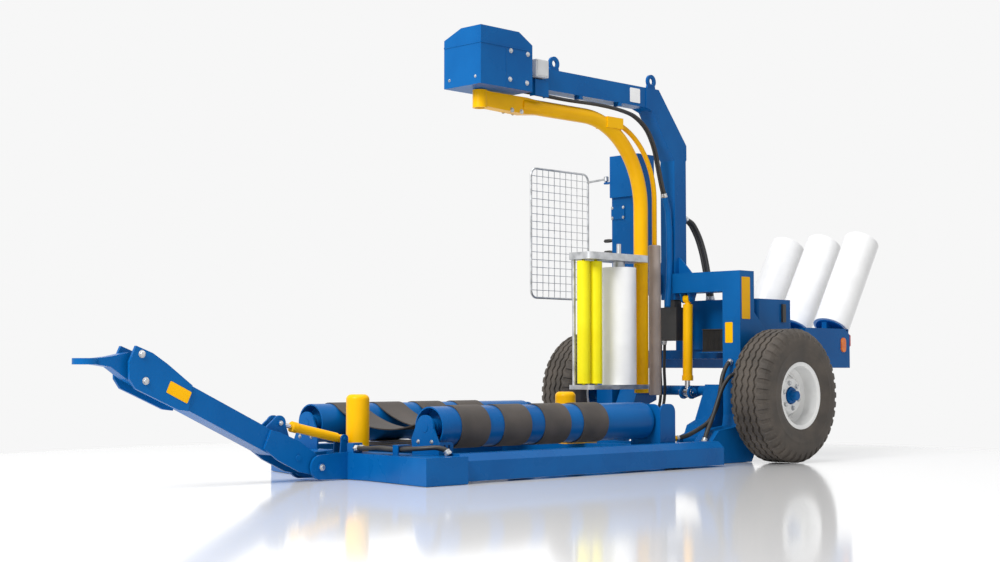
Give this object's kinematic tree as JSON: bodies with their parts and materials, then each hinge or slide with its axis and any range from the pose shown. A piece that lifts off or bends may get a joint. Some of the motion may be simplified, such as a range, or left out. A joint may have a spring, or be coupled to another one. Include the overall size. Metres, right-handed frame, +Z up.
{
  "type": "towed round bale wrapper",
  "caption": "Towed farm machine that wraps round bales in film: low roller table with belts, boom with rotating film arm, swing axle on two wheels, rack for spare film.",
  "frame": {"origin": "on the ground at the middle of the overall length and width, machine lowered as it parks", "axes": "+X forward to the towing eye, +Y to the machine's left, +Z up"},
  "size_m": [6.2453, 1.9108, 2.59],
  "materials": {
    "paint_blue": "gloss",
    "paint_yellow": "gloss",
    "plastic_lemon": "satin",
    "film_white": "satin",
    "belt_rubber": "matte",
    "tyre_rubber": "matte",
    "rim_silver": "satin",
    "bright_steel": "polished",
    "zinc_plate": "satin",
    "padding_grey": "matte",
    "black_parts": "satin",
    "hose_rubber": "satin",
    "reflector_orange": "gloss",
    "lamp_red": "gloss"
  },
  "bodies": {
    "frame": {"front_beam": "paint_blue", "side_beam_left": "paint_blue", "side_beam_right": "paint_blue", "rear_beam": "paint_blue", "pivot_beam": "paint_blue", "roller_bracket_left": "paint_blue", "roller_bracket_right": "paint_blue", "table_roller_left": "paint_blue", "table_roller_right": "paint_blue", "belts": "belt_rubber", "guide_pin_front": "paint_yellow", "guide_pin_rear": "paint_yellow", "portal_left": "paint_blue", "portal_right": "paint_blue", "cross_beam": "paint_blue", "mast": "paint_blue", "boom": "paint_blue", "head_box": "paint_blue", "chassis_rail_left": "paint_blue", "chassis_rail_right": "paint_blue", "rack": "paint_blue", "spare_rolls": "film_white", "tank_bearers": "paint_blue", "oil_tank": "paint_blue", "oil_cooler": "black_parts", "cooler_tray": "paint_blue", "valve_block": "black_parts", "cabinet": "paint_blue", "hose_conduit": "paint_blue", "hoses": "hose_rubber", "hose_coupling": "paint_yellow", "side_reflectors": "reflector_orange", "tail_lamps": "lamp_red", "tank_fittings": "black_parts"},
    "swing_axle": {"swing_axle": "paint_blue"},
    "wheel_left": {"tyre_left": "tyre_rubber", "rim_left": "rim_silver", "hub_left": "paint_blue"},
    "wheel_right": {"tyre_right": "tyre_rubber", "rim_right": "rim_silver", "hub_right": "paint_blue"},
    "lift_barrel": {"lift_barrel": "paint_yellow"},
    "lift_rod": {"lift_rod": "bright_steel"},
    "drawbar": {"drawbar": "paint_blue", "hitch_head": "paint_blue", "towing_eye": "paint_blue"},
    "ram_barrel": {"ram_barrel": "paint_yellow"},
    "ram_rod": {"ram_rod": "bright_steel"},
    "wrap_arm": {"arm": "paint_yellow", "trip_bar": "paint_yellow", "trip_sleeve": "padding_grey", "dispenser_top": "zinc_plate", "dispenser_base": "zinc_plate"},
    "film_roll": {"film_roll": "film_white"},
    "stretch_roller_inner": {"stretch_roller_inner": "plastic_lemon"},
    "stretch_roller_outer": {"stretch_roller_outer": "plastic_lemon"},
    "guide_cone_front": {"guide_cone_front": "paint_yellow"},
    "guide_cone_rear": {"guide_cone_rear": "paint_yellow"},
    "guard_grille": {"guard_grille": "zinc_plate", "grille_hinge": "zinc_plate"}
  },
  "joints": [
    {"name": "axle_lift", "type": "hinge", "parent": "frame", "child": "swing_axle", "pos_m": [-1.15934, 0, 0.14], "axis": [0, -1, 0], "range_deg": [0, 30]},
    {"name": "wheel_left_spin", "type": "hinge", "parent": "swing_axle", "child": "wheel_left", "pos_m": [-1.45934, 0.81, 0.4225], "axis": [0, 1, 0], "continuous": true},
    {"name": "wheel_right_spin", "type": "hinge", "parent": "swing_axle", "child": "wheel_right", "pos_m": [-1.45934, -0.81, 0.4225], "axis": [0, 1, 0], "continuous": true},
    {"name": "lift_barrel_swing", "type": "hinge", "parent": "frame", "child": "lift_barrel", "pos_m": [-1.31934, 0.15, 1.052], "axis": [0, -1, 0], "range_deg": [-11.11, 0]},
    {"name": "lift_rod_slide", "type": "slide", "parent": "lift_barrel", "child": "lift_rod", "axis": [0.0163, 0, -0.9999], "range_m": [0, 0.11792]},
    {"name": "drawbar_tilt", "type": "hinge", "parent": "frame", "child": "drawbar", "pos_m": [1.71066, 0, 0.07], "axis": [0, -1, 0], "range_deg": [-15, 0]},
    {"name": "ram_barrel_swing", "type": "hinge", "parent": "frame", "child": "ram_barrel", "pos_m": [1.49766, 0, 0.212], "axis": [0, -1, 0], "range_deg": [-9.07, 0]},
    {"name": "ram_rod_slide", "type": "slide", "parent": "ram_barrel", "child": "ram_rod", "axis": [0.9776, 0, 0.2103], "range_m": [0, 0.04475]},
    {"name": "arm_spin", "type": "hinge", "parent": "frame", "child": "wrap_arm", "pos_m": [0.45066, 0, 2.2], "axis": [0, 0, 1], "continuous": true},
    {"name": "film_spin", "type": "hinge", "parent": "wrap_arm", "child": "film_roll", "pos_m": [-0.79934, 0, 0.86], "axis": [0, 0, 1], "continuous": true},
    {"name": "stretch_inner_spin", "type": "hinge", "parent": "wrap_arm", "child": "stretch_roller_inner", "pos_m": [-0.45934, 0, 0.86], "axis": [0, 0, 1], "continuous": true},
    {"name": "stretch_outer_spin", "type": "hinge", "parent": "wrap_arm", "child": "stretch_roller_outer", "pos_m": [-0.54538, 0.02641, 0.86], "axis": [0, 0, 1], "continuous": true},
    {"name": "guide_front_spin", "type": "hinge", "parent": "frame", "child": "guide_cone_front", "pos_m": [1.38066, 0, 0.3], "axis": [0, 0, 1], "continuous": true},
    {"name": "guide_rear_spin", "type": "hinge", "parent": "frame", "child": "guide_cone_rear", "pos_m": [-0.28934, 0, 0.3], "axis": [0, 0, 1], "continuous": true},
    {"name": "grille_swing", "type": "hinge", "parent": "frame", "child": "guard_grille", "pos_m": [-1.47934, -0.7, 1.6], "axis": [0, 0, 1], "range_deg": [-60, 0]}
  ],
  "couplings": [
    {"joint": "lift_barrel_swing", "follows": "axle_lift", "ratio": -0.36361},
    {"joint": "lift_rod_slide", "follows": "axle_lift", "m_per_rad": 0.22425},
    {"joint": "ram_barrel_swing", "follows": "drawbar_tilt", "ratio": 0.5916},
    {"joint": "ram_rod_slide", "follows": "drawbar_tilt", "m_per_rad": -0.16903},
    {"joint": "stretch_outer_spin", "follows": "stretch_inner_spin", "ratio": -0.58824}
  ]
}
